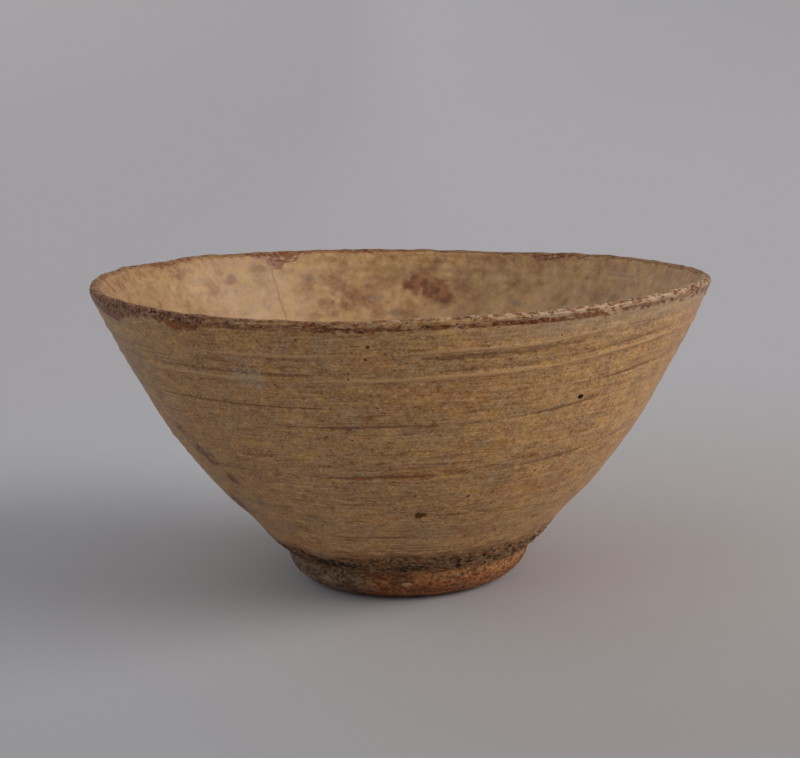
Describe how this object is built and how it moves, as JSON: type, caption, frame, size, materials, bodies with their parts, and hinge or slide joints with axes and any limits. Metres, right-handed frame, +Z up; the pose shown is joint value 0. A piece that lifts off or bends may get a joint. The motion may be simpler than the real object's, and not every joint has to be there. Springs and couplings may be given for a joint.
{
  "type": "matcha bowl",
  "caption": "Wide, flaring hand-thrown stoneware tea bowl on a low foot ring, ochre glaze inside and out, bare brown rim and foot.",
  "frame": {"origin": "centre of the foot ring on the surface that the bowl stands on", "axes": "+Z up through the middle of the foot, square to the plane that the foot rests on; -X towards the side where the uneven rim is highest; -Y towards the side seen first"},
  "size_m": [0.15, 0.15, 0.0765],
  "materials": {
    "bare_clay": "rough, unglazed, gritty",
    "ochre_glaze": "semi-matt, speckled and streaked",
    "pale_glaze": "semi-matt, mottled",
    "dark_crust": "beaded and crusty"
  },
  "bodies": {
    "root": {"clay_body": "bare_clay", "glaze_outside": "ochre_glaze", "glaze_inside": "pale_glaze", "glaze_crust": "dark_crust"}
  },
  "joints": []
}
